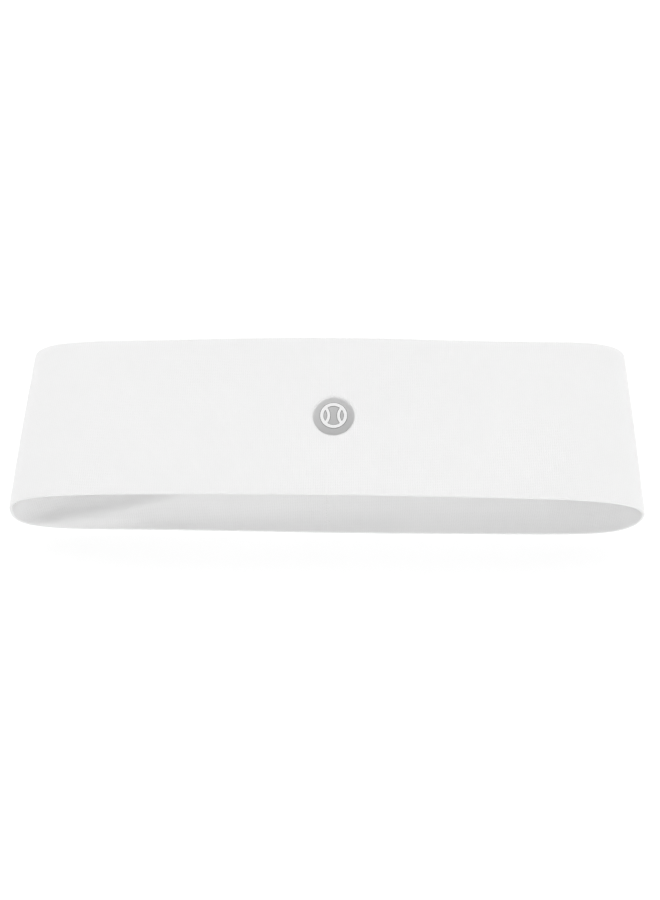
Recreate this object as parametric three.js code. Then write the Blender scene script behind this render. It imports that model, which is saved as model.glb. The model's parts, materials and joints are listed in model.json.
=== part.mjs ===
// Sports headband: a two-layer knitted loop, lying flattened on its back panel.
// Units are millimetres. X runs across the flattened loop, Y along the loop's axis
// (-Y = brow rim, +Y = crown rim), Z up. The origin is the centre of the footprint,
// on the surface the headband lies on.
//
// The loop is an outer knit and a lining knit, joined at both rims over a narrow
// elastic tape. A soft fold at each side turns the back panel into the front panel.

import * as THREE from 'three';

// ---- driving dimensions -------------------------------------------------------
const BAND_WIDTH = 64;          // rim to rim, along Y
const HALF_BROW = 122.3;        // half of the flattened width at the brow rim
const HALF_CROWN = 118.7;       // half of the flattened width at the crown rim
const LOOP_HEIGHT = 32;         // relaxed height of the flattened loop
const FRONT_SHIFT = 3;          // the front panel lies this much nearer the crown
const SHELL = 0.4;              // outer knit
const TAPE = 0.2;               // elastic tape in each rim
const LINING = 0.4;             // inner knit
const LAYER_GAP = 0.1;          // clearance between layers
const FOLD_GAP = 0.3;           // clearance between a panel and its fold
const FOLD_STEPS = 14;          // facets round each half-turn fold
const TAPE_WIDTH = 6;
const TAPE_INSET = 1.2;         // rim to the tape's edge
const THREAD = 0.35;            // sewing thread
const EMBLEM_D = 16;
const EMBLEM_T = 0.25;
const MARK_D = 10.4;
const MARK_T = 0.15;
const MARK_STROKE = 1.3;        // ring of the mark
const MARK_SEAM = 1.15;         // its two curved seams
const EMBLEM_X = 2.4;           // the emblem sits a little to one side of the middle
const EMBLEM_Y = 0.8;
const LABEL = { width: 14, length: 17, thick: 0.4 };

// ---- derived ------------------------------------------------------------------
const HALF_MID = (HALF_BROW + HALF_CROWN) / 2;
const TAPER = (HALF_BROW - HALF_CROWN) / BAND_WIDTH;   // change of half width per mm of Y
const FOLD_R = LOOP_HEIGHT / 2;
const FOLD_X = HALF_MID - FOLD_R;                      // where a panel ends and its fold begins
const HALF_BAND = BAND_WIDTH / 2;
const TAPE_OUT = SHELL + LAYER_GAP;                    // depth of the tape's outer face
const LINING_OUT = TAPE_OUT + TAPE + LAYER_GAP;        // depth of the lining's outer face
const STACK = LINING_OUT + LINING;                     // full thickness of the wall

// Loop coordinates to the shape at rest: the loop narrows towards the crown, and the
// front panel is displaced along Y from the back panel.
function settle(geometry) {
  const p = geometry.attributes.position;
  for (let i = 0; i < p.count; i++) {
    const x = p.getX(i), y = p.getY(i), z = p.getZ(i);
    const share = Math.max(-1, Math.min(1, x / FOLD_X));
    p.setXYZ(i, x - share * TAPER * y, y + FRONT_SHIFT * (z / LOOP_HEIGHT - 0.5), z);
  }
  geometry.computeVertexNormals();
  return geometry;
}

// A shape drawn in (x, z), given a length along Y from y0 to y1.
function alongBand(shape, y0, y1) {
  const g = new THREE.ExtrudeGeometry(shape, { depth: y1 - y0, bevelEnabled: false, curveSegments: 1 });
  g.rotateX(Math.PI / 2);            // shape y becomes z, depth runs to -Y
  g.translate(0, y1, 0);
  return settle(g);
}

// A shape drawn in (x, y), raised from z0 to z1.
function raised(shape, z0, z1, segments = 1) {
  const g = new THREE.ExtrudeGeometry(shape, { depth: z1 - z0, bevelEnabled: false, curveSegments: segments });
  g.translate(0, 0, z0);
  return settle(g);
}

// Points of one fold at a given depth below the outer face. side is -1 or 1.
function foldArc(side, depth) {
  const r = FOLD_R - depth, points = [];
  for (let i = 0; i <= FOLD_STEPS; i++) {
    const a = -Math.PI / 2 + Math.PI * i / FOLD_STEPS;
    points.push(new THREE.Vector2(side * (FOLD_X + r * Math.cos(a)), FOLD_R + r * Math.sin(a)));
  }
  return points;
}

function foldShape(side, d0, d1) {
  return new THREE.Shape([...foldArc(side, d0), ...foldArc(side, d1).reverse()]);
}

function loopOutline(depth) {
  return [...foldArc(1, depth), ...foldArc(-1, depth).reverse()];
}

// A closed ring round the whole loop between two depths.
function loopShape(d0, d1) {
  const shape = new THREE.Shape(loopOutline(d0));
  shape.holes.push(new THREE.Path(loopOutline(d1)));
  return shape;
}

function panelShape(z0, z1) {
  const h = FOLD_X - FOLD_GAP;
  return new THREE.Shape([
    new THREE.Vector2(-h, z0), new THREE.Vector2(h, z0),
    new THREE.Vector2(h, z1), new THREE.Vector2(-h, z1),
  ]);
}

// A ribbon of constant width along a polyline in (x, y).
function ribbon(points, width) {
  const left = [], right = [];
  for (let i = 0; i < points.length; i++) {
    const a = points[Math.max(0, i - 1)], b = points[Math.min(points.length - 1, i + 1)];
    const d = new THREE.Vector2().subVectors(b, a).normalize();
    const n = new THREE.Vector2(-d.y, d.x);
    const before = new THREE.Vector2().subVectors(points[i], a).normalize();
    const k = i > 0 && i < points.length - 1 ? Math.min(2, 1 / Math.max(0.5, Math.abs(before.dot(d)))) : 1;
    left.push(points[i].clone().addScaledVector(n, width / 2 * k));
    right.push(points[i].clone().addScaledVector(n, -width / 2 * k));
  }
  return new THREE.Shape([...right, ...left.reverse()]);
}

function zigzag(x, half, y0, y1, pitch) {
  const points = [], n = Math.round((y1 - y0) / (pitch / 2));
  for (let i = 0; i <= n; i++) {
    points.push(new THREE.Vector2(x + (i % 2 ? half : -half), y0 + (y1 - y0) * i / n));
  }
  return points;
}

function roundedRect(x0, y0, x1, y1, r) {
  const s = new THREE.Shape();
  s.moveTo(x0 + r, y0); s.lineTo(x1 - r, y0); s.absarc(x1 - r, y0 + r, r, -Math.PI / 2, 0, false);
  s.lineTo(x1, y1 - r); s.absarc(x1 - r, y1 - r, r, 0, Math.PI / 2, false);
  s.lineTo(x0 + r, y1); s.absarc(x0 + r, y1 - r, r, Math.PI / 2, Math.PI, false);
  s.lineTo(x0, y0 + r); s.absarc(x0 + r, y0 + r, r, Math.PI, Math.PI * 1.5, false);
  return s;
}

// ---- materials ----------------------------------------------------------------
const knit = (color) => new THREE.MeshStandardMaterial({ color, roughness: 0.92, metalness: 0 });
const shellKnit = knit(0xf1f1f1);
const liningKnit = knit(0xe8e8e8);
const elastic = new THREE.MeshStandardMaterial({ color: 0xf4f3ee, roughness: 0.8, metalness: 0 });
const thread = new THREE.MeshStandardMaterial({ color: 0xf7f7f7, roughness: 0.6, metalness: 0 });
const silver = new THREE.MeshStandardMaterial({ color: 0xbdbdbd, roughness: 0.38, metalness: 0.35 });
const white = new THREE.MeshStandardMaterial({ color: 0xf5f5f5, roughness: 0.5, metalness: 0 });
const satin = new THREE.MeshStandardMaterial({ color: 0xf6f6f4, roughness: 0.45, metalness: 0 });

// ---- assembly -----------------------------------------------------------------
const headband = new THREE.Group();
const back = new THREE.Group();
const front = new THREE.Group();
const label = new THREE.Group();
headband.add(back, front, label);

function part(group, name, geometry, material) {
  const mesh = new THREE.Mesh(geometry, material);
  mesh.name = name;
  group.add(mesh);
  return mesh;
}

// back panel: outer knit below, lining above it
part(back, 'outer_shell_back', alongBand(panelShape(0, SHELL), -HALF_BAND, HALF_BAND), shellKnit);
part(back, 'lining_back', alongBand(panelShape(LINING_OUT, STACK), -HALF_BAND, HALF_BAND), liningKnit);

// side folds, continuing both layers from the back panel to the front panel
for (const [side, name] of [[-1, 'left'], [1, 'right']]) {
  part(back, `outer_shell_fold_${name}`, alongBand(foldShape(side, 0, SHELL), -HALF_BAND, HALF_BAND), shellKnit);
  part(back, `lining_fold_${name}`, alongBand(foldShape(side, LINING_OUT, STACK), -HALF_BAND, HALF_BAND), liningKnit);
}

// elastic tape and closing seam thread, round the whole loop between the two layers
for (const [side, name] of [[1, 'crown'], [-1, 'brow']]) {
  const inner = HALF_BAND - TAPE_INSET - TAPE_WIDTH, outer = HALF_BAND - TAPE_INSET;
  part(back, `edge_elastic_${name}`,
    alongBand(loopShape(TAPE_OUT, TAPE_OUT + TAPE), Math.min(side * inner, side * outer), Math.max(side * inner, side * outer)), elastic);
  const t0 = HALF_BAND - 0.8, t1 = t0 + THREAD;
  part(back, `edge_seam_thread_${name}`,
    alongBand(loopShape(TAPE_OUT, TAPE_OUT + TAPE), Math.min(side * t0, side * t1), Math.max(side * t0, side * t1)), thread);
}

// zigzag thread over the butt join that closes the loop at the centre back
part(back, 'back_seam_stitch',
  raised(ribbon(zigzag(0, 1.3, -HALF_BAND + 1.2, HALF_BAND - 10, 2.4), THREAD), STACK, STACK + 0.3), thread);

// blank care label at the crown rim, centre back, inside the loop
const LABEL_Z = STACK + 0.4;                           // rests on the seam thread
const HINGE_Y = HALF_BAND - 3.2;
part(label, 'care_label',
  raised(roundedRect(-LABEL.width / 2, HINGE_Y - LABEL.length, LABEL.width / 2, HINGE_Y, 0.6), LABEL_Z, LABEL_Z + LABEL.thick, 3), satin);
const tack = [];
for (let i = 0; i < 13; i++) tack.push(new THREE.Vector2(-6 + i, HINGE_Y + 1.1 + (i % 2 ? 0.45 : -0.45)));
part(back, 'label_tack_stitch', raised(ribbon(tack, THREAD), STACK, STACK + 0.3), thread);

// front panel: lining below, outer knit above it, emblem on the outer knit
const TOP = LOOP_HEIGHT;
part(front, 'outer_shell_front', alongBand(panelShape(TOP - SHELL, TOP), -HALF_BAND, HALF_BAND), shellKnit);
part(front, 'lining_front', alongBand(panelShape(TOP - STACK, TOP - LINING_OUT), -HALF_BAND, HALF_BAND), liningKnit);

const disc = new THREE.Shape();
disc.absarc(EMBLEM_X, EMBLEM_Y, EMBLEM_D / 2, 0, Math.PI * 2, false);
part(front, 'emblem_disc', raised(disc, TOP, TOP + EMBLEM_T, 24), silver);

// generic ball pictogram: a ring joined to two curved seams, open between them
function ballMark(R, stroke, seam) {
  const inner = R - stroke, reach = 1.22 * R, bend = 0.86 * R;
  const at = (x, y) => new THREE.Vector2(EMBLEM_X + x, EMBLEM_Y + y);
  const arc = (cx, r, a0, a1, n) => {
    const out = [];
    for (let i = 0; i <= n; i++) {
      const a = a0 + (a1 - a0) * i / n;
      out.push([cx + r * Math.cos(a), r * Math.sin(a)]);
    }
    return out;
  };
  // angles at which a seam's edge of radius r meets the ring's inner edge
  const meet = (r) => {
    const x = (reach * reach + inner * inner - r * r) / (2 * reach), y = Math.sqrt(inner * inner - x * x);
    return [Math.atan2(y, x), Math.atan2(y, reach - x)];
  };
  const path = (points) => new THREE.Path(points.map(([x, y]) => at(x, y)));
  const shape = new THREE.Shape(arc(0, R, 0, Math.PI * 2, 48).slice(0, -1).map(([x, y]) => at(x, y)));
  const [ringA, arcA] = meet(bend - seam / 2);
  for (const side of [-1, 1]) {
    const lens = [...arc(0, inner, -ringA, ringA, 12),
      ...arc(reach, bend - seam / 2, Math.PI - arcA, Math.PI + arcA, 12).slice(1, -1)];
    shape.holes.push(path(lens.map(([x, y]) => [side * x, y])));
  }
  const [ringB, arcB] = meet(bend + seam / 2);
  const rightEdge = arc(reach, bend + seam / 2, Math.PI + arcB, Math.PI - arcB, 14).slice(1, -1);
  shape.holes.push(path([
    ...arc(0, inner, ringB, Math.PI - ringB, 10),
    ...rightEdge.map(([x, y]) => [-x, y]).reverse(),
    ...arc(0, inner, Math.PI + ringB, Math.PI * 2 - ringB, 10),
    ...rightEdge,
  ]));
  return shape;
}
part(front, 'emblem_mark',
  raised(ballMark(MARK_D / 2, MARK_STROKE, MARK_SEAM), TOP + EMBLEM_T, TOP + EMBLEM_T + MARK_T, 1), white);

export default headband;
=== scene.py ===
"""Sports headband: the soft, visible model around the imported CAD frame."""
import json
import math

import bpy
import numpy as np
from mathutils import Matrix, Vector


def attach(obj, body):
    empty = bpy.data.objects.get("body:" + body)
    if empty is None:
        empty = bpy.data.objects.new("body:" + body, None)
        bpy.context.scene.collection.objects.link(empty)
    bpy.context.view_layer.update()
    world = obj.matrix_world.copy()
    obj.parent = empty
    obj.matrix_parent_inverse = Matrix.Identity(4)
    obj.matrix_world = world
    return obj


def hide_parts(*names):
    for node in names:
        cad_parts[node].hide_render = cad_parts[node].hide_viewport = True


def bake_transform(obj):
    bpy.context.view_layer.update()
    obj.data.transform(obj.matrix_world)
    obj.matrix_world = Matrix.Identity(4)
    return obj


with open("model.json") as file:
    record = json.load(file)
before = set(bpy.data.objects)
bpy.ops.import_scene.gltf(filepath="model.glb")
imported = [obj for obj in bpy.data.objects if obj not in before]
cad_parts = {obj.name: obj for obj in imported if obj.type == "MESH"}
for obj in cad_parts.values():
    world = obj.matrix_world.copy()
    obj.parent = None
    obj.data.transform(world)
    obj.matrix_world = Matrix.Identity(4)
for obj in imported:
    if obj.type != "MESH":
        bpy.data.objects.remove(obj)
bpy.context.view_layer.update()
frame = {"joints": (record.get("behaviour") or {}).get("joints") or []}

MM = 0.001
H2 = 32.0            # half of the band width, mm
T = 32.0             # relaxed loop height, mm
WALL = 0.92          # outer knit + lining + the slack between them, mm
SHEET = 0.36         # thickness of one knit layer, mm
BEAD = 0.09          # how far the tape pushes each layer out, mm
RIM_R = WALL / 2 + BEAD   # radius of the rolled rim, mm
RIM_C = H2 - RIM_R   # where the roll's centre lies, mm from the middle


# --------------------------------------------------------------------------- shape of the loop
def lerp(a, b, t):
    return a * (1.0 - t) + b * t


def smooth(a, b, x):
    t = np.clip((x - a) / (b - a), 0, 1)
    return t * t * (3 - 2 * t)


NEAR = dict(A=(122.7, 122.12), zc=(14.543, 16.794), nu=(3.8, 6.1), nl=(8.0, 11.178), crown=1.612,
            yu=(2.071, -0.432, -1.724, -0.668, 3.27), yl=(-1.932, -0.972, 1.5, 0.848, -1.993))
FAR = dict(A=(117.441, 118.283), zc=(16.942, 18.128), nu=(7.38, 8.319), nl=(8.142, 9.042), crown=2.596,
           yu=(3.0, 0.028, -4.744, 0.779, 6.683), yl=(-1.215, -0.286, -0.006, -0.271, -0.469))


def poly(c, s):
    return sum(k * s ** i for i, k in enumerate(c))


def section(s, upper, v):
    """Outer face of the loop. s runs -1..1 across the width, upper picks the front half, v is mm along the band (arrays)."""
    t = np.clip(v / H2, -1.05, 1.05) * 0.5 + 0.5
    w = 0.5 + 0.5 * np.tanh(s * 3)
    A = np.where(s < 0, lerp(NEAR["A"][0], FAR["A"][0], t), lerp(NEAR["A"][1], FAR["A"][1], t))
    zc = lerp(lerp(NEAR["zc"][0], FAR["zc"][0], t), lerp(NEAR["zc"][1], FAR["zc"][1], t), w)
    nu = lerp(lerp(NEAR["nu"][0], FAR["nu"][0], t), lerp(NEAR["nu"][1], FAR["nu"][1], t), w)
    # the back panel lifts into the fold a little earlier in the soft middle of the band than at its rims
    soft = smooth(0.0, 0.32, t) * smooth(0.0, 0.22, 1 - t)
    nl = lerp(lerp(NEAR["nl"][0], FAR["nl"][0], t) - 6.2 * soft, lerp(NEAR["nl"][1], FAR["nl"][1], t) - 3.0 * soft, w)
    a = np.clip(np.abs(s), 0, 1)
    cr = lerp(NEAR["crown"], FAR["crown"], t) - 0.9 * (1 - (2 * t - 1) ** 2)
    # the left fold is blunter at the brow rim
    e = 0.5 - np.where(s < 0, 0.13, 0.0) * np.clip(1 - t, 0, 1)
    zu = zc + (T - zc) * np.clip(1 - a ** nu, 0, None) ** e + cr * (1 - s * s)
    zl = zc - zc * np.clip(1 - a ** nl, 0, None) ** e
    z = np.where(upper, zu, zl)
    f = np.clip(z / T, 0, 1)
    yn = -H2 + poly(NEAR["yl"], s) * (1 - f) + poly(NEAR["yu"], s) * f
    yf = H2 + poly(FAR["yl"], s) * (1 - f) + poly(FAR["yu"], s) * f
    y = yn + (yf - yn) * t
    # the free sides belly out slightly between the two rims
    side = smooth(0.80, 1.0, a)
    x = A * s + np.sign(s) * side * 0.35 * (1 - (2 * t - 1) ** 2)
    return x, y, z, f


def waves(u, v, x, f):
    """Slight unevenness of a soft knit, mm along the normal. Zero where the back panel rests."""
    top = smooth(0.75, 0.98, f)
    vv = v / H2
    r1 = 0.10 * np.sin(x / 31.0 + 0.6 + 0.5 * vv) * np.sin(1.7 + 2.3 * vv)
    r2 = 0.06 * np.sin(x / 13.5 - 1.1 + 1.4 * vv) * np.cos(2.9 * vv + x / 40.0)
    ridge = 0.16 * np.exp(-((np.abs(vv + 0.03 * np.sin(x / 45.0)) - 0.60) / 0.17) ** 2)
    return top * (r1 + r2 + ridge) * smooth(0, 6, H2 + 1 - np.abs(v))


NQ = 104              # columns in a quarter of the loop


def columns():
    """Shares of the loop's length, 0..1 from the middle of the front towards +X, then round the back."""
    u = np.linspace(0, 1, NQ * 4 + 1)[:-1]
    extra = 0.5 + np.array([-1.6, -0.9, -0.55, -0.3, -0.15, 0.15, 0.3, 0.55, 0.9, 1.6]) / 520.0
    return np.unique(np.concatenate([u, extra]))


U = columns()


def row(v):
    """The outer face at v mm along the band, at every column: points (n, 3) in mm, z share and signed arc length."""
    k = 420
    phi = np.linspace(0, math.pi / 2, k)
    fine = []
    for quarter in range(4):      # front +X, back +X, back -X, front -X
        upper = quarter in (0, 3)
        sgn = 1 if quarter in (0, 1) else -1
        s = np.sin(phi)
        # dense near the tips, where the fold turns
        s = np.clip(np.where(s > 0.5, 1 - (1 - s) ** 1.25 * (0.5 ** -0.25), s), 0, 1)
        s = np.maximum.accumulate(s)
        s = s if quarter in (0, 2) else s[::-1]
        x, y, z, f = section(sgn * s, np.full(k, upper), np.full(k, v))
        seg = np.stack([x, y, z, sgn * s], 1)
        fine.append(seg)
    lengths, pts, base = [], [], 0.0
    for q, seg in enumerate(fine):
        d = np.linalg.norm(np.diff(seg[:, :3], axis=0), axis=1)
        c = np.concatenate([[0], np.cumsum(d)])
        share = 0.25 * q + 0.25 * c / c[-1]
        lengths.append(c[-1])
        pts.append((share, seg))
    share = np.concatenate([p[0][:-1] for p in pts] + [[1.0]])
    seg = np.concatenate([p[1][:-1] for p in pts] + [pts[0][1][:1]])
    out = np.stack([np.interp(U, share, seg[:, i]) for i in range(4)], 1)
    total = sum(lengths)
    return out[:, :3], out[:, 3], total


V_FACE = np.unique(np.concatenate([np.linspace(-RIM_C, RIM_C, 47), [-25.6, -24.6, -23.6, -22.6, 22.6, 23.6, 24.6, 25.6]]))
GRID_V = np.unique(np.concatenate([V_FACE, np.linspace(-H2 - 0.4, -RIM_C, 5), np.linspace(RIM_C, H2 + 0.4, 5)]))


def build_grid():
    P = np.zeros((len(GRID_V), len(U), 3))
    S = np.zeros((len(GRID_V), len(U)))
    L = np.zeros(len(GRID_V))
    for i, v in enumerate(GRID_V):
        P[i], S[i], L[i] = row(v)
    def normals(P):
        du = np.roll(P, -1, axis=1) - np.roll(P, 1, axis=1)
        dv = np.gradient(P, GRID_V, axis=0)
        n = np.cross(du, dv)
        return n / np.maximum(np.linalg.norm(n, axis=2, keepdims=True), 1e-12)
    N = normals(P)
    # outward: on the front half the normal points up
    mid = np.argmin(np.abs(U - 0.0))
    if N[len(GRID_V) // 2, mid, 2] < 0:
        N = -N
        flip = -1
    else:
        flip = 1
    F = np.clip(P[..., 2] / T, 0, 1)
    vv = np.repeat(GRID_V[:, None], len(U), 1)
    P = P + N * waves(U[None, :], vv, P[..., 0], F)[..., None]
    N = normals(P) * flip
    return P, N, S, L


GP, GN, GS, GL = build_grid()
MEAN_L = float(np.mean(GL))


def weight_of(z, s):
    """How far a point goes with the front panel: none on the back panel, all at the middle of the front, less towards the folds."""
    return np.clip(z / T, 0, 1) * (1 - 0.42 * np.clip(np.abs(s), 0, 1) ** 2.2)


GW = weight_of(GP[..., 2], GS)


def at_v(v):
    """Points, normals and weights at v mm (an array) for every column, interpolated along the band."""
    v = np.atleast_1d(np.asarray(v, float))
    i = np.clip(np.searchsorted(GRID_V, v) - 1, 0, len(GRID_V) - 2)
    t = ((v - GRID_V[i]) / (GRID_V[i + 1] - GRID_V[i]))[:, None]
    P = GP[i] * (1 - t[..., None]) + GP[i + 1] * t[..., None]
    N = GN[i] * (1 - t[..., None]) + GN[i + 1] * t[..., None]
    N /= np.linalg.norm(N, axis=2, keepdims=True)
    W = GW[i] * (1 - t) + GW[i + 1] * t
    return P, N, W


# --------------------------------------------------------------------------- mesh helpers
def collect(name, verts, faces, uvs=None, smooth_shade=True):
    me = bpy.data.meshes.new(name)
    me.from_pydata((np.asarray(verts) * MM).tolist(), [], faces)
    me.update()
    if uvs is not None:
        layer = me.uv_layers.new(name="cloth_mm")
        loops = np.zeros(len(me.loops), np.int32)
        me.loops.foreach_get("vertex_index", loops)
        layer.data.foreach_set("uv", np.asarray(uvs, np.float32)[loops].ravel())
    me.polygons.foreach_set("use_smooth", np.full(len(me.polygons), smooth_shade))
    ob = bpy.data.objects.new(name, me)
    bpy.context.scene.collection.objects.link(ob)
    return ob


def set_blend(ob):
    """Bakes the piece's transform into its mesh."""
    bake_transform(ob)


def swept(name, profile, closed_profile=True, jitter=None):
    """A piece with the same cross-section all round the loop. profile is a list of (v, n) in mm: v along the band, n below the outer face."""
    prof = np.asarray(profile, float)
    P, N, W = at_v(prof[:, 0])
    n = prof[:, 1][:, None]
    if jitter is not None:
        n = n + jitter(prof, P)
    V = P - N * n[..., None] if n.shape[1] > 1 else P - N * n[:, :, None]
    R, C = V.shape[:2]
    # unwrapped cloth coordinates in mm: along the loop, and along the profile
    run = np.concatenate([[0], np.cumsum(np.linalg.norm(np.diff(prof, axis=0), axis=1))])
    uv_u = np.repeat((U * MEAN_L)[None, :], R, 0)
    uv_v = np.repeat(prof[:, 0][:, None], C, 1)
    idx = np.arange(R * C).reshape(R, C)
    faces = []
    uv_loops = []
    rows = range(R) if closed_profile else range(R - 1)
    nxt = np.roll(np.arange(C), -1)
    a = idx[list(rows)]
    b = idx[[(r + 1) % R for r in rows]]
    quads = np.stack([a, a[:, nxt], b[:, nxt], b], -1).reshape(-1, 4)
    # uv per loop, so that the last column closes without a jump back
    uu = uv_u[0]
    uu_next = np.concatenate([uu[1:], [MEAN_L]])
    rr = np.asarray(list(rows))
    va = uv_v[rr, 0]
    vb = uv_v[(rr + 1) % R, 0]
    q = np.zeros((len(rr), C, 4, 2), np.float32)
    q[:, :, 0, 0] = uu; q[:, :, 1, 0] = uu_next; q[:, :, 2, 0] = uu_next; q[:, :, 3, 0] = uu
    q[:, :, 0, 1] = va[:, None]; q[:, :, 1, 1] = va[:, None]; q[:, :, 2, 1] = vb[:, None]; q[:, :, 3, 1] = vb[:, None]
    verts = V.reshape(-1, 3)
    # outward facing
    e1 = verts[quads[:, 1]] - verts[quads[:, 0]]
    e2 = verts[quads[:, 3]] - verts[quads[:, 0]]
    c0 = verts[quads[:, 0]]
    vol = float(np.einsum("ij,ij->", c0, np.cross(e1, verts[quads[:, 2]] - c0)) + np.einsum("ij,ij->", c0, np.cross(verts[quads[:, 2]] - c0, e2)))
    if vol < 0:
        quads = quads[:, ::-1]
        q = q[:, :, ::-1, :]
    me = bpy.data.meshes.new(name)
    me.from_pydata((verts * MM).tolist(), [], quads.tolist())
    layer = me.uv_layers.new(name="cloth_mm")
    layer.data.foreach_set("uv", q.reshape(-1))
    me.polygons.foreach_set("use_smooth", np.ones(len(me.polygons), bool))
    me.update()
    ob = bpy.data.objects.new(name, me)
    bpy.context.scene.collection.objects.link(ob)
    set_blend(ob)
    return ob


def bead(v):
    """The rim is thicker where the elastic tape lies inside it."""
    return BEAD * smooth(22.8, 25.4, np.abs(v))


def puff(x, v):
    """How far the unpressed fabric bags away from the ground inside the loop, with one slack buckle."""
    rim = H2 - np.abs(v)
    left = -113.0 + 60.0 * np.tanh((rim - 2.0) / 13.0)
    right = 101.0 - 6.0 * np.tanh((rim - 2.0) / 12.0)
    deep = np.clip(rim - 10.0, 0, None)
    across = smooth(0.0, 1.0, (x - left + 13.0 + 0.3 * deep) / (26.0 + 1.0 * deep)) * (1 - smooth(-24.0, 12.0, x - right))
    along = smooth(-50.0, 30.0, x)
    rise = smooth(0.0, 1.0, (rim - 2.2 - 3.3 * along) / (17.8 + 4.7 * along))
    height = (5.3 - 1.9 * smooth(-15.0, 65.0, x)) * (1 - 0.62 * smooth(-14.0, 8.0, v))
    q = (x + 108.0) * 0.978 + (v + 29.0) * 0.206
    d = (x + 108.0) * 0.206 - (v + 29.0) * 0.978
    d = d - 0.5 - 2.1 * (1 - smooth(-8.0, 6.0, q)) - 0.05 * np.clip(q - 8, 0, 20)
    steep = 5.0 + 0.38 * np.clip(q, 0, 24)
    fall = np.clip(1 + d / steep, 0, 1)
    fall = 0.5 * fall + 0.5 * smooth(0.0, 1.0, fall)
    buckle = np.where(d < 0, fall, 1 - smooth(0.0, 15.0, d))
    buckle = buckle * smooth(-13.0, -3.0, q) * (1 - smooth(18.0, 46.0, q)) * smooth(0.0, 2.2 + 0.1 * np.clip(q, 0, 24), rim) * np.where(v < 0, 1.0, 0.0)
    return height * across * rise + (1.65 + 0.035 * np.clip(q, 0, 24)) * buckle


# --------------------------------------------------------------------------- materials
class Nodes:
    def __init__(self, name):
        self.m = bpy.data.materials.new(name)
        self.m.use_nodes = True
        self.t = self.m.node_tree
        self.t.nodes.clear()
        self.out = self.t.nodes.new("ShaderNodeOutputMaterial")
        self.p = self.t.nodes.new("ShaderNodeBsdfPrincipled")
        self.t.links.new(self.p.outputs[0], self.out.inputs[0])

    def new(self, kind, **kw):
        n = self.t.nodes.new(kind)
        for k, v in kw.items():
            setattr(n, k, v)
        return n

    def link(self, a, b):
        self.t.links.new(a, b)

    def math(self, op, a, b=None, c=None):
        n = self.new("ShaderNodeMath", operation=op)
        for i, x in enumerate((a, b, c)):
            if x is None:
                continue
            if isinstance(x, (int, float)):
                n.inputs[i].default_value = x
            else:
                self.link(x, n.inputs[i])
        return n.outputs[0]

    def cloth(self):
        uv = self.new("ShaderNodeUVMap", uv_map="cloth_mm")
        sep = self.new("ShaderNodeSeparateXYZ")
        self.link(uv.outputs[0], sep.inputs[0])
        return sep.outputs[0], sep.outputs[1], uv.outputs[0]

    def ramp(self, fac, stops):
        n = self.new("ShaderNodeValToRGB")
        e = n.color_ramp.elements
        while len(e) < len(stops):
            e.new(0.5)
        for el, (p, c) in zip(e, stops):
            el.position = p
            el.color = (c, c, c, 1) if isinstance(c, (int, float)) else (*c, 1)
        self.link(fac, n.inputs[0])
        return n.outputs[0]

    def bump(self, height, strength, distance):
        n = self.new("ShaderNodeBump")
        n.inputs["Strength"].default_value = strength
        n.inputs["Distance"].default_value = distance
        self.link(height, n.inputs["Height"])
        return n


def knit_height(k, x, y, wale, course):
    """Fine jersey: columns of V-shaped stitches, wale mm apart, course mm high. Returns height 0..1."""
    fx = k.math("FRACT", k.math("DIVIDE", x, wale))
    mid = k.math("ABSOLUTE", k.math("SUBTRACT", k.math("MULTIPLY", fx, 2.0), 1.0))   # 0 at the wale's middle, 1 between wales
    slant = k.math("ADD", k.math("DIVIDE", y, course), k.math("MULTIPLY", mid, 0.62))
    leg = k.math("ADD", k.math("MULTIPLY", k.math("COSINE", k.math("MULTIPLY", slant, 2 * math.pi)), 0.5), 0.5)
    groove = k.math("SUBTRACT", 1.0, k.math("POWER", mid, 4.0))
    cleft = k.math("SUBTRACT", 1.0, k.math("MULTIPLY", k.math("POWER", k.math("SUBTRACT", 1.0, mid), 6.0), 0.35))
    body = k.math("ADD", k.math("MULTIPLY", leg, 0.42), 0.58)
    return k.math("MULTIPLY", k.math("MULTIPLY", groove, cleft), body)


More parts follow.
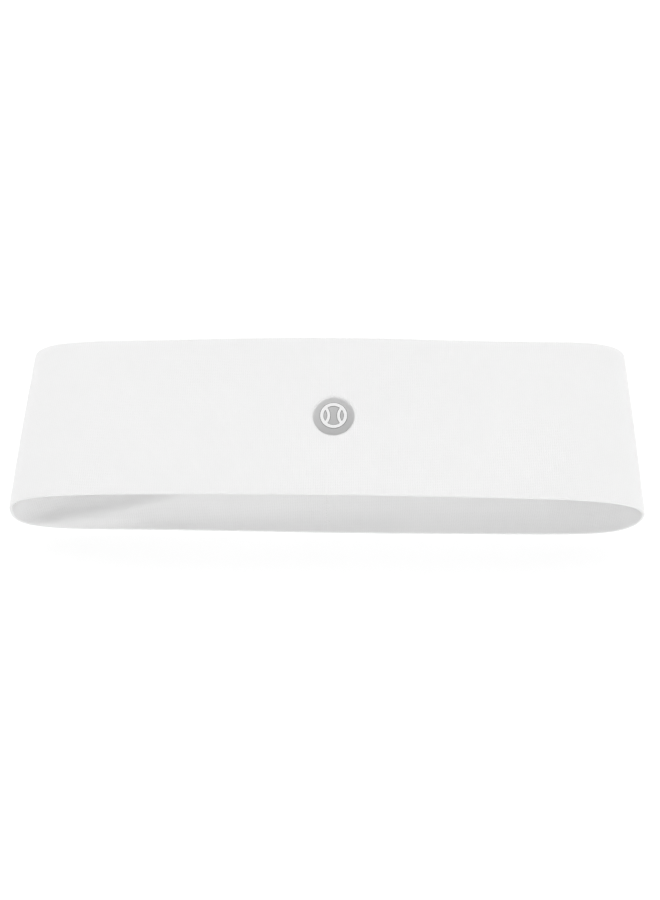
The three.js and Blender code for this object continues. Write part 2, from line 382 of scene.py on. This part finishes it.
def knit_material(name, base, wale, course, depth, sheen=0.25, tint=(1, 1, 1)):
    k = Nodes(name)
    x, y, uv = k.cloth()
    # slight unevenness of the machine's stitches
    noise = k.new("ShaderNodeTexNoise")
    noise.inputs["Scale"].default_value = 0.055
    noise.inputs["Detail"].default_value = 3.0
    k.link(uv, noise.inputs["Vector"])
    wob = k.math("MULTIPLY", k.math("SUBTRACT", noise.outputs["Fac"], 0.5), 0.9)
    xs = k.math("ADD", x, wob)
    h = knit_height(k, xs, y, wale, course)
    fine = k.new("ShaderNodeTexNoise")
    fine.inputs["Scale"].default_value = 4.5
    fine.inputs["Detail"].default_value = 4.0
    k.link(uv, fine.inputs["Vector"])
    h2 = k.math("ADD", k.math("MULTIPLY", h, 0.86), k.math("MULTIPLY", fine.outputs["Fac"], 0.14))
    b = k.bump(h2, 0.9, depth)
    k.link(b.outputs[0], k.p.inputs["Normal"])
    # colour: painted shade and highlight, darker in the stitch gaps and lighter on the yarn, plus broad faint
    # unevenness
    broad = k.new("ShaderNodeTexNoise")
    broad.inputs["Scale"].default_value = 0.02
    broad.inputs["Detail"].default_value = 2.0
    k.link(uv, broad.inputs["Vector"])
    painted_gap_shade = k.math("ADD", k.math("MULTIPLY", h, 0.055), 0.955)
    va = k.math("ADD", k.math("MULTIPLY", broad.outputs["Fac"], 0.03), 0.985)
    val = k.math("MULTIPLY", k.math("MULTIPLY", painted_gap_shade, va), base)
    comb = k.new("ShaderNodeCombineColor")
    for i in range(3):
        k.link(k.math("MULTIPLY", val, tint[i]), comb.inputs[i])
    k.link(comb.outputs[0], k.p.inputs["Base Color"])
    rough = k.math("SUBTRACT", 0.95, k.math("MULTIPLY", h, 0.12))
    k.link(rough, k.p.inputs["Roughness"])
    k.p.inputs["Sheen Weight"].default_value = sheen
    k.p.inputs["Sheen Roughness"].default_value = 0.45
    k.p.inputs["Specular IOR Level"].default_value = 0.3
    return k.m


def thread_material(name, base):
    k = Nodes(name)
    tc = k.new("ShaderNodeTexCoord")
    w = k.new("ShaderNodeTexWave", wave_type="BANDS", bands_direction="DIAGONAL")
    w.inputs["Scale"].default_value = 900.0
    w.inputs["Distortion"].default_value = 1.5
    k.link(tc.outputs["Object"], w.inputs["Vector"])
    b = k.bump(w.outputs["Fac"], 0.6, 0.00006)
    k.link(b.outputs[0], k.p.inputs["Normal"])
    col = k.ramp(w.outputs["Fac"], [(0.0, base * 0.93), (1.0, base)])
    k.link(col, k.p.inputs["Base Color"])
    k.p.inputs["Roughness"].default_value = 0.6
    k.p.inputs["Sheen Weight"].default_value = 0.2
    return k.m


def elastic_material(name, base):
    k = Nodes(name)
    x, y, uv = k.cloth()
    ribs = k.math("ABSOLUTE", k.math("SINE", k.math("MULTIPLY", y, math.pi / 0.55)))
    weave = k.math("ABSOLUTE", k.math("SINE", k.math("MULTIPLY", x, math.pi / 0.7)))
    h = k.math("ADD", k.math("MULTIPLY", ribs, 0.7), k.math("MULTIPLY", weave, 0.3))
    b = k.bump(h, 0.8, 0.00015)
    k.link(b.outputs[0], k.p.inputs["Normal"])
    k.link(k.ramp(h, [(0.0, (base * 0.9, base * 0.89, base * 0.86)), (1.0, (base, base, base * 0.985))]), k.p.inputs["Base Color"])
    k.p.inputs["Roughness"].default_value = 0.75
    return k.m


def film_material(name, base, rough, metallic, grain=0.02):
    k = Nodes(name)
    tc = k.new("ShaderNodeTexCoord")
    n = k.new("ShaderNodeTexNoise")
    n.inputs["Scale"].default_value = 5200.0
    n.inputs["Detail"].default_value = 3.0
    k.link(tc.outputs["Object"], n.inputs["Vector"])
    k.link(k.ramp(n.outputs["Fac"], [(0.25, base * (1 - grain * 2)), (0.75, base * (1 + grain))]), k.p.inputs["Base Color"])
    b = k.bump(n.outputs["Fac"], 0.25, 0.00003)
    k.link(b.outputs[0], k.p.inputs["Normal"])
    k.p.inputs["Metallic"].default_value = metallic
    r = k.math("ADD", k.math("MULTIPLY", n.outputs["Fac"], 0.12), rough - 0.06)
    k.link(r, k.p.inputs["Roughness"])
    return k.m


def satin_material(name, base):
    k = Nodes(name)
    tc = k.new("ShaderNodeTexCoord")
    sep = k.new("ShaderNodeSeparateXYZ")
    k.link(tc.outputs["Object"], sep.inputs[0])
    a = k.math("SINE", k.math("MULTIPLY", sep.outputs[0], 2 * math.pi / 0.00028))
    c = k.math("SINE", k.math("MULTIPLY", sep.outputs[1], 2 * math.pi / 0.00042))
    h = k.math("ADD", k.math("MULTIPLY", a, 0.3), k.math("MULTIPLY", c, 0.2))
    b = k.bump(h, 0.35, 0.00004)
    k.link(b.outputs[0], k.p.inputs["Normal"])
    k.link(k.ramp(k.math("ADD", h, 0.5), [(0.0, base * 0.97), (1.0, base)]), k.p.inputs["Base Color"])
    k.p.inputs["Roughness"].default_value = 0.42
    k.p.inputs["Sheen Weight"].default_value = 0.3
    k.p.inputs["Anisotropic"].default_value = 0.4
    return k.m


MAT = {
    "shell": knit_material("shell_knit", 0.88, 0.85, 0.62, 0.00010, sheen=0.12),
    "lining": knit_material("lining_knit", 0.845, 0.70, 0.55, 0.00009, sheen=0.08),
    "elastic": elastic_material("elastic_tape", 0.90),
    "thread": thread_material("sewing_thread", 0.90),
    "silver": film_material("emblem_silver", 0.67, 0.33, 0.58),
    "outline": film_material("emblem_outline", 0.16, 0.6, 0.0),
    "white": film_material("emblem_white", 0.83, 0.55, 0.0, grain=0.008),
    "label": satin_material("label_satin", 0.85),
}


def dress(ob, mat):
    ob.data.materials.clear()
    ob.data.materials.append(MAT[mat])


# --------------------------------------------------------------------------- the two knit layers
def arc(vc, nc, r, a0, a1, steps, side):
    """Points of the rolled rim: a is 0 at the outer face and 180 degrees at the inner face. side is -1 or 1."""
    a = np.radians(np.linspace(a0, a1, steps))
    return [(side * (vc + r * math.sin(t)), nc - r * math.cos(t)) for t in a]


MIDN = WALL / 2
CAP_R = SHEET / 2
JOIN = 89.0 - math.degrees(CAP_R / (RIM_R - CAP_R))   # where each layer's rounded end starts, degrees round from its face


def cap(side, a, steps=5):
    """The rounded end of a layer at angle a round the roll, from the roll's outer radius to its inner radius."""
    r_mid = RIM_R - CAP_R
    t = math.radians(a)
    c = np.array([RIM_C + r_mid * math.sin(t), MIDN - r_mid * math.cos(t)])
    radial = np.array([math.sin(t), -math.cos(t)])
    along = np.array([math.cos(t), math.sin(t)]) * (1 if a < 90 else -1)
    pts = []
    for b in np.linspace(math.pi / 2, -math.pi / 2, steps)[1:-1]:
        p = c + CAP_R * (math.sin(b) * radial + math.cos(b) * along)
        pts.append((side * p[0], p[1]))
    return pts


def shell_profile():
    face = [(v, -bead(v)) for v in V_FACE]
    p = face[:-1]
    p += arc(RIM_C, MIDN, RIM_R, 0, JOIN, 8, 1) + cap(1, JOIN) + arc(RIM_C, MIDN, RIM_R - SHEET, JOIN, 0, 5, 1)
    inner = V_FACE[::-2][1:-1]
    p += [(v, SHEET - bead(v)) for v in inner]
    p += arc(RIM_C, MIDN, RIM_R - SHEET, 0, JOIN, 5, -1) + cap(-1, JOIN)[::-1] + arc(RIM_C, MIDN, RIM_R, JOIN, 0, 8, -1)[:-1]
    return p


def lining_profile():
    face = [(v, WALL + bead(v)) for v in V_FACE]
    p = face[:-1]
    p += arc(RIM_C, MIDN, RIM_R, 180, 180 - JOIN, 8, 1) + cap(1, 180 - JOIN) + arc(RIM_C, MIDN, RIM_R - SHEET, 180 - JOIN, 180, 5, 1)
    inner = V_FACE[::-2][1:-1]
    p += [(v, WALL - SHEET + bead(v)) for v in inner]
    p += arc(RIM_C, MIDN, RIM_R - SHEET, 180, 180 - JOIN, 5, -1) + cap(-1, 180 - JOIN)[::-1] + arc(RIM_C, MIDN, RIM_R, 180 - JOIN, 180, 8, -1)[:-1]
    return p


def seam_groove(depth, sign, slack=0.0):
    """The butt join at the centre back: a shallow groove, deepest on the middle column. With slack, the layer also puffs up between the rims."""
    d = np.abs(U - 0.5) * MEAN_L
    g = depth * np.exp(-(d / 0.28) ** 2)
    on_back = smooth(0.235, 0.262, U) * (1 - smooth(0.738, 0.765, U))
    def f(prof, P):
        n = sign * np.repeat(g[None, :], len(prof), 0)
        if slack:
            n = n + slack * (0.15 + 0.85 * on_back) * puff(P[..., 0], prof[:, :1])
        return n
    return f


shell = swept("outer_shell", shell_profile(), jitter=seam_groove(0.08, 1))
dress(shell, "shell")
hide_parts("outer_shell_back", "outer_shell_front", "outer_shell_fold_left", "outer_shell_fold_right")

lining = swept("lining", lining_profile(), jitter=seam_groove(0.06, -1, slack=1.0))
dress(lining, "lining")
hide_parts("lining_back", "lining_front", "lining_fold_left", "lining_fold_right")


# --------------------------------------------------------------------------- inside the rims
def tape_profile(side, v0, v1, n0, n1, r=0.06):
    c = [(v0, n0), (v1, n0), (v1, n1), (v0, n1)]
    pts = []
    m = 9
    for v in np.linspace(v0 + r, v1 - r, m):
        pts.append((v, n0))
    pts += [(v1, n0 + r), (v1, n1 - r)]
    for v in np.linspace(v1 - r, v0 + r, m):
        pts.append((v, n1))
    pts += [(v0, n1 - r), (v0, n0 + r)]
    return [(side * v, n) for v, n in pts]


for side, nm in ((1, "crown"), (-1, "brow")):
    tape = swept(f"edge_elastic_{nm}_tape", tape_profile(side, 24.8, 30.8, MIDN - 0.11, MIDN + 0.11))
    dress(tape, "elastic")
    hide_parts(f"edge_elastic_{nm}")
    ring = [(side * (31.25 + 0.12 * math.cos(a)), MIDN + 0.12 * math.sin(a)) for a in np.linspace(0, 2 * math.pi, 8)[:-1]]
    strand = swept(f"edge_seam_thread_{nm}_strand", ring)
    dress(strand, "thread")
    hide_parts(f"edge_seam_thread_{nm}")


# --------------------------------------------------------------------------- surface lookups
def front_at(x, y):
    """The front panel's outer face over (x, y) in mm: z, and the weight there."""
    x, y = np.asarray(x, float), np.asarray(y, float)
    v = y.copy()
    s = x / 120.0
    for _ in range(12):
        px, py, pz, f = section(s, np.ones_like(x, bool), v)
        s = s + (x - px) / 120.0
        v = v + (y - py)
    px, py, pz, f = section(s, np.ones_like(x, bool), v)
    z = pz + waves(0, v, px, f)
    return z, weight_of(z, s)


def back_inner(x, y):
    """The lining's face inside the back panel over (x, y) in mm."""
    x, y = np.asarray(x, float), np.asarray(y, float)
    v = y.copy()
    s = x / 120.0
    for _ in range(12):
        px, py, pz, f = section(s, np.zeros_like(x, bool), v)
        s = s + (x - px) / 120.0
        v = v + (y - py)
    px, py, pz, f = section(s, np.zeros_like(x, bool), v)
    return pz + WALL + bead(v) + puff(px, v)


# --------------------------------------------------------------------------- emblem
EX, EY = 2.4, 2.3


def film_dome(x, y):
    """The film is a touch proud in its middle."""
    return 0.12 * (1 - ((x - EX) ** 2 + (y - EY) ** 2) / 64.0)


def disc_piece(name, radius, h0, h1, edge, mat, replaces, rings=18, around=112):
    """A thin round film on the front panel, from h0 to h1 above it, with a softened edge."""
    prof = [(radius * i / rings, h1) for i in range(rings)]
    prof[-1] = (radius - edge, h1)
    prof = prof[:-1] + [(radius - edge + edge * math.sin(a), h1 - edge * (1 - math.cos(a))) for a in np.linspace(0, math.pi / 2, 5)]
    prof += [(radius, h0)] + [(radius * i / 8, h0) for i in range(7, 0, -1)]
    verts, faces = [(0.0, 0.0, h1)], []
    for r, h in prof[1:]:
        for j in range(around):
            a = 2 * math.pi * j / around
            verts.append((r * math.cos(a), r * math.sin(a), h))
    verts.append((0.0, 0.0, h0))
    n = len(prof) - 1
    for j in range(around):
        k = (j + 1) % around
        faces.append((0, 1 + j, 1 + k))
        for i in range(n - 1):
            a, b = 1 + i * around, 1 + (i + 1) * around
            faces.append((a + j, b + j, b + k, a + k))
        faces.append((1 + (n - 1) * around + j, len(verts) - 1, 1 + (n - 1) * around + k))
    v = np.array(verts)
    v[:, 0] += EX
    v[:, 1] += EY
    z, w = front_at(v[:, 0], v[:, 1])
    v[:, 2] += z + np.where(v[:, 2] > 0.1, film_dome(v[:, 0], v[:, 1]), 0.0)
    ob = collect(name, v, faces)
    set_blend(ob)
    dress(ob, mat)
    if replaces:
        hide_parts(replaces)
    return ob


disc_piece("emblem_film", 8.0, 0.02, 0.24, 0.09, "silver", "emblem_disc")


def circle(cx, cy, r, n, a0=0.0, a1=2 * math.pi, end=False):
    return [(cx + r * math.cos(a), cy + r * math.sin(a)) for a in np.linspace(a0, a1, n, endpoint=end)]


def ball_outlines(R, stroke, seam, grow=0.0):
    """A generic ball pictogram as closed outlines: the outer circle, then its three openings."""
    ri = R - stroke - grow
    c, ra = 1.22 * R, 0.86 * R
    outer = circle(0, 0, R + grow, 96)
    holes = []
    for side in (-1, 1):
        r = ra - seam / 2 - grow            # the opening between the seam and the ring, on this side
        d = c
        xi = (d * d + ri * ri - r * r) / (2 * d)
        yi = math.sqrt(max(ri * ri - xi * xi, 1e-9))
        a_ring = math.atan2(yi, xi)
        a_arc = math.atan2(yi, d - xi)
        pts = circle(0, 0, ri, 26, -a_ring, a_ring, True)
        pts += [(d - r * math.cos(a), r * math.sin(a)) for a in np.linspace(a_arc, -a_arc, 26)[1:-1]]
        holes.append([(side * x, y) for x, y in pts])
    r = ra + seam / 2 + grow
    d = c
    xi = (d * d + ri * ri - r * r) / (2 * d)
    yi = math.sqrt(max(ri * ri - xi * xi, 1e-9))
    a_top = math.atan2(yi, xi)
    a_arc = math.atan2(yi, d - xi)
    top = circle(0, 0, ri, 22, a_top, math.pi - a_top, True)
    left = [(-(d - r * math.cos(a)), r * math.sin(a)) for a in np.linspace(a_arc, -a_arc, 30)[1:-1]]
    bottom = circle(0, 0, ri, 22, math.pi + a_top, 2 * math.pi - a_top, True)
    right = [(d - r * math.cos(a), r * math.sin(a)) for a in np.linspace(-a_arc, a_arc, 30)[1:-1]]
    holes.append(top + left + bottom + right)
    return outer, holes


def printed(name, outlines, h0, h1, bevel, mat, replaces):
    """A thin print: flat outlines with openings, raised from h0 to h1 above the front panel."""
    cu = bpy.data.curves.new(name + "_outline", "CURVE")
    cu.dimensions = "2D"
    cu.fill_mode = "BOTH"
    half = (h1 - h0) / 2
    cu.extrude = (half - bevel)
    cu.bevel_depth = bevel
    cu.bevel_resolution = 2
    cu.offset = -bevel
    outer, holes = outlines
    for pts in [outer] + holes:
        sp = cu.splines.new("POLY")
        sp.points.add(len(pts) - 1)
        sp.points.foreach_set("co", np.array([(x, y, 0, 1) for x, y in pts], np.float32).ravel())
        sp.use_cyclic_u = True
    tmp = bpy.data.objects.new(name + "_tmp", cu)
    bpy.context.scene.collection.objects.link(tmp)
    dg = bpy.context.evaluated_depsgraph_get()
    me = bpy.data.meshes.new_from_object(tmp.evaluated_get(dg))
    bpy.data.objects.remove(tmp)
    import bmesh
    bm = bmesh.new()
    bm.from_mesh(me)
    bmesh.ops.remove_doubles(bm, verts=bm.verts, dist=1e-4)
    bmesh.ops.recalc_face_normals(bm, faces=bm.faces)
    bm.to_mesh(me)
    bm.free()
    v = np.array([p.co for p in me.vertices], float)
    v[:, 0] += EX
    v[:, 1] += EY
    z, w = front_at(v[:, 0], v[:, 1])
    v[:, 2] += z + (h0 + h1) / 2 + film_dome(v[:, 0], v[:, 1])
    me.vertices.foreach_set("co", (v * MM).astype(np.float32).ravel())
    me.update()
    me.materials.clear()
    ob = bpy.data.objects.new(name, me)
    bpy.context.scene.collection.objects.link(ob)
    me.polygons.foreach_set("use_smooth", np.zeros(len(me.polygons), bool))
    set_blend(ob)
    dress(ob, mat)
    if replaces:
        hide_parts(replaces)
    return ob


printed("emblem_mark_outline", ball_outlines(5.2, 1.3, 1.15, grow=0.17), 0.245, 0.285, 0.008, "outline", None)
printed("emblem_mark_print", ball_outlines(5.2, 1.3, 1.15), 0.29, 0.38, 0.025, "white", "emblem_mark")


# --------------------------------------------------------------------------- threads inside, at the centre back
def tube(path, radius, sides=8, squash=1.0):
    path = np.asarray(path, float)
    t = np.gradient(path, axis=0)
    t /= np.linalg.norm(t, axis=1, keepdims=True)
    up = np.tile([0.0, 0.0, 1.0], (len(path), 1))
    b = np.cross(t, up)
    b /= np.maximum(np.linalg.norm(b, axis=1, keepdims=True), 1e-9)
    n = np.cross(b, t)
    ang = np.linspace(0, 2 * math.pi, sides, endpoint=False)
    rad = np.full(len(path), radius)
    V = path[:, None, :] + rad[:, None, None] * (np.cos(ang)[None, :, None] * b[:, None, :] + squash * np.sin(ang)[None, :, None] * n[:, None, :])
    R = len(path)
    idx = np.arange(R * sides).reshape(R, sides)
    faces = []
    for i in range(R - 1):
        for j in range(sides):
            k = (j + 1) % sides
            faces.append((int(idx[i, j]), int(idx[i, k]), int(idx[i + 1, k]), int(idx[i + 1, j])))
    faces.append(tuple(int(q) for q in idx[0][::-1]))
    faces.append(tuple(int(q) for q in idx[-1]))
    return V.reshape(-1, 3), faces


def zigzag_path(x0, half, y0, y1, pitch, lift, dive):
    n = int(round((y1 - y0) / (pitch / 2)))
    pts = []
    for i in range(n):
        a = np.array([x0 + (half if i % 2 else -half), y0 + (y1 - y0) * i / n])
        b = np.array([x0 + (-half if i % 2 else half), y0 + (y1 - y0) * (i + 1) / n])
        for t in np.linspace(0, 1, 9)[:-1]:
            p = a + (b - a) * t
            z = float(back_inner([p[0]], [p[1]])[0]) + lift - dive * (2 * abs(t - 0.5)) ** 3
            pts.append((p[0], p[1], z))
    return pts


def stitches(name, path, radius, replaces):
    v, f = tube(path, radius, sides=7, squash=0.8)
    ob = collect(name, v, f)
    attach(ob, "back")
    dress(ob, "thread")
    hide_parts(replaces)
    return ob


stitches("back_seam_zigzag", zigzag_path(0.0, 1.15, -30.6, 20.4, 1.9, 0.03, 0.12), 0.10, "back_seam_stitch")

# --------------------------------------------------------------------------- care label
hinge = next(j for j in frame["joints"] if j["name"] == "care_label_flip")["pos_m"]
LY1 = hinge[1] / MM + 0.2
LW, LL = 14.0, 16.8


def label_piece():
    nx, ny = 25, 31
    xs = np.linspace(-LW / 2, LW / 2, nx)
    ys = np.linspace(LY1 - LL, LY1, ny)
    X, Y = np.meshgrid(xs, ys)
    base = back_inner(X.ravel(), Y.ravel()).reshape(X.shape)
    free = np.clip((LY1 - Y) / LL, 0, 1)
    lift = 0.28 + 0.6 * free ** 2.2 + 0.16 * np.sin(X / 3.1 + 0.7) * free
    top = base + lift + 0.26
    low = base + lift
    Vt = np.stack([X, Y, top], -1).reshape(-1, 3)
    Vb = np.stack([X, Y, low], -1).reshape(-1, 3)
    idx = np.arange(nx * ny).reshape(ny, nx)
    faces = []
    o = nx * ny
    for i in range(ny - 1):
        for j in range(nx - 1):
            faces.append((int(idx[i, j]), int(idx[i, j + 1]), int(idx[i + 1, j + 1]), int(idx[i + 1, j])))
            faces.append((int(o + idx[i, j]), int(o + idx[i + 1, j]), int(o + idx[i + 1, j + 1]), int(o + idx[i, j + 1])))
    rim = [int(q) for q in list(idx[0, :]) + list(idx[1:, -1]) + list(idx[-1, :-1][::-1]) + list(idx[1:-1, 0][::-1])]
    for a, b in zip(rim, rim[1:] + rim[:1]):
        faces.append((a, o + a, o + b, b))
    ob = collect("care_label_ribbon", np.concatenate([Vt, Vb]), faces)
    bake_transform(ob)
    dress(ob, "label")
    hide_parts("care_label")
    return ob


label_piece()
tack = []
for i in range(13):
    x = -6 + i
    for t in np.linspace(0, 1, 7)[:-1]:
        if i == 12:
            break
        a, b = (0.45 if i % 2 else -0.45), (-0.45 if i % 2 else 0.45)
        px, py = x + t, LY1 + 0.75 + a + (b - a) * t
        z = float(back_inner([px], [py])[0]) + 0.04 - 0.10 * (2 * abs(t - 0.5)) ** 3
        tack.append((px, py, z))
stitches("label_tack_thread", tack, 0.11, "label_tack_stitch")

# --------------------------------------------------------------------------- floor, light, camera
def floor():
    me = bpy.data.meshes.new("floor")
    s = 4.0
    me.from_pydata([(-s, -s, -0.0002), (s, -s, -0.0002), (s, s, -0.0002), (-s, s, -0.0002)], [], [(0, 1, 2, 3)])
    ob = bpy.data.objects.new("floor", me)
    bpy.context.scene.collection.objects.link(ob)
    k = Nodes("floor_white")
    k.p.inputs["Base Color"].default_value = (0.6, 0.6, 0.6, 1)
    k.p.inputs["Roughness"].default_value = 0.9
    k.p.inputs["Specular IOR Level"].default_value = 0.0
    k.p.inputs["Emission Color"].default_value = (1, 1, 1, 1)
    k.p.inputs["Emission Strength"].default_value = 0.53
    me.materials.append(k.m)


floor()


def area(name, loc, target, size, power, shape="RECTANGLE", size_y=None):
    d = bpy.data.lights.new(name, "AREA")
    d.shape = shape
    d.size = size
    d.size_y = size_y or size
    d.energy = power
    ob = bpy.data.objects.new(name, d)
    bpy.context.scene.collection.objects.link(ob)
    ob.location = loc
    ob.rotation_mode = "QUATERNION"
    ob.rotation_quaternion = (Vector(target) - Vector(loc)).to_track_quat("-Z", "Y")
    return ob


area("key_right", (0.5, -1.25, 1.1), (0, 0, 0), 1.3, 6.1, size_y=0.9)
area("back_right", (0.6, 1.0, 1.2), (0, 0, 0), 1.2, 5.1, size_y=0.8)
area("back_left", (-0.6, 1.0, 1.2), (0, 0, 0), 1.2, 8.9, size_y=0.8)
area("side_left", (-1.4, -0.3, 0.6), (0, 0, 0), 0.8, 2.0, size_y=0.6)
area("side_right", (1.4, -0.3, 0.6), (0, 0, 0), 0.8, 2.1, size_y=0.6)
area("front_fill", (0.0, -0.7, 1.5), (0, 0, 0), 1.0, 3.6, size_y=0.8)

# studio surround: bright walls, a dark ceiling
world = bpy.data.worlds.new("studio")
bpy.context.scene.world = world
world.use_nodes = True
wt = world.node_tree
bg = wt.nodes["Background"]
co = wt.nodes.new("ShaderNodeTexCoord")
sp = wt.nodes.new("ShaderNodeSeparateXYZ")
rp = wt.nodes.new("ShaderNodeValToRGB")
wt.links.new(co.outputs["Generated"], sp.inputs[0])
wt.links.new(sp.outputs[2], rp.inputs[0])
rp.color_ramp.elements[0].position = 0.40
rp.color_ramp.elements[0].color = (1, 1, 1, 1)
rp.color_ramp.elements[1].position = 0.85
rp.color_ramp.elements[1].color = (0.12, 0.12, 0.12, 1)
wt.links.new(rp.outputs[0], bg.inputs[0])
bg.inputs[1].default_value = 0.9

bpy.context.scene.view_settings.view_transform = "Standard"
bpy.context.scene.view_settings.look = "None"

EL, AZ, ROLL = math.radians(67.76), math.radians(1.37), math.radians(-0.88)
D = 0.600
cam_data = bpy.data.cameras.new("camera")
cam = bpy.data.objects.new("camera", cam_data)
bpy.context.scene.collection.objects.link(cam)
back = Vector((math.sin(AZ) * math.cos(EL), -math.cos(AZ) * math.cos(EL), math.sin(EL)))
cam.location = Vector((0, 0, 0.015)) + back * D
cam.rotation_mode = "QUATERNION"
q = (-back).to_track_quat("-Z", "Y")
cam.rotation_quaternion = q @ Matrix.Rotation(ROLL, 4, "Z").to_quaternion()
cam_data.sensor_width = 36
cam_data.lens = 1523.2 / 900 * 36
cam_data.shift_x = (330 - 327.55) / 900
cam_data.shift_y = -(450 - 439.33) / 900
cam_data.clip_start, cam_data.clip_end = 0.01, 20
bpy.context.scene.camera = cam
